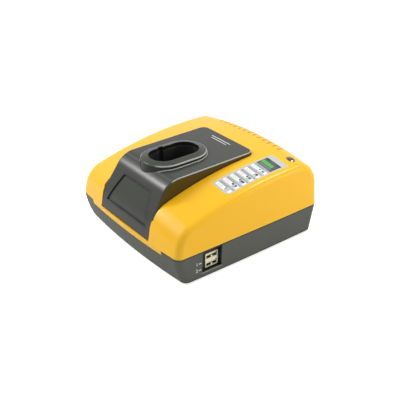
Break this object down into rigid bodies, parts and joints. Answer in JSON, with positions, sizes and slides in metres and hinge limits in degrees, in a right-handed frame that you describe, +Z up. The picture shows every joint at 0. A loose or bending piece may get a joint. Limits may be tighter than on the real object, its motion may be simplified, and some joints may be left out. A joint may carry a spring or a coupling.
{
  "type": "power tool battery charger",
  "caption": "Desktop charger for power tool batteries: two-part shell, raised stem socket with sprung contacts, two USB ports, status light and mains inlet.",
  "frame": {"origin": "on the ground under the middle of the case", "axes": "+Z up; -Y towards the sloping front with the battery adapter; +X towards the USB ports"},
  "size_m": [0.17, 0.1806, 0.0906],
  "materials": {
    "yellow_shell": "satin moulded",
    "dark_shell": "fine moulded texture",
    "adapter_plastic": "satin moulded",
    "black_plastic": "moulded",
    "contact_metal": "plated",
    "label_film": "printed film",
    "lens": "polished",
    "board": "solder mask",
    "light_epoxy": "clear epoxy",
    "usb_metal": "plated",
    "usb_insulator": "moulded",
    "ferrite": "sintered",
    "winding_tape": "tape",
    "can_sleeve": "heat shrink",
    "choke_wire": "enamelled wire",
    "sink_aluminium": "extruded",
    "fuse_glass": "glass tube",
    "pin_brass": "plated",
    "lead_sleeve": "PVC sleeve",
    "screw_steel": "zinc plated",
    "foot_rubber": "matt"
  },
  "bodies": {
    "charger": {"upper_housing": "yellow_shell", "lower_housing": "dark_shell", "battery_adapter": "adapter_plastic", "socket_liner": "black_plastic", "terminal_block": "black_plastic", "contact_roots": "contact_metal", "status_label": "label_film", "status_lens": "lens", "light_board": "board", "status_light": "light_epoxy", "usb_shell": "usb_metal", "usb_insulator": "usb_insulator", "usb_contacts": "contact_metal", "usb_board": "board", "main_board": "board", "transformer_core": "ferrite", "transformer_winding": "winding_tape", "input_capacitor": "can_sleeve", "output_capacitors": "can_sleeve", "choke": "choke_wire", "heat_sink": "sink_aluminium", "power_transistors": "black_plastic", "fuse": "fuse_glass", "fuse_clips": "contact_metal", "mains_inlet": "black_plastic", "inlet_pins": "pin_brass", "battery_leads": "lead_sleeve", "case_screws": "screw_steel", "board_screws": "screw_steel", "adapter_screws": "screw_steel", "rubber_feet": "foot_rubber"},
    "positive_leaf": {"contact_positive": "contact_metal"},
    "negative_leaf": {"contact_negative": "contact_metal"},
    "sense_leaf": {"contact_sense": "contact_metal"}
  },
  "joints": [
    {"name": "positive_leaf_flex", "type": "hinge", "parent": "charger", "child": "positive_leaf", "pos_m": [0, -0.0041, 0.0385], "axis": [1, 0, 0], "range_deg": [-7, 0], "stiffness_Nm_per_rad": 0.4},
    {"name": "negative_leaf_flex", "type": "hinge", "parent": "charger", "child": "negative_leaf", "pos_m": [0, -0.0529, 0.0385], "axis": [1, 0, 0], "range_deg": [0, 7], "stiffness_Nm_per_rad": 0.4},
    {"name": "sense_leaf_flex", "type": "hinge", "parent": "charger", "child": "sense_leaf", "pos_m": [0.0124, -0.0285, 0.0385], "axis": [0, 1, 0], "range_deg": [0, 7], "stiffness_Nm_per_rad": 0.4}
  ]
}
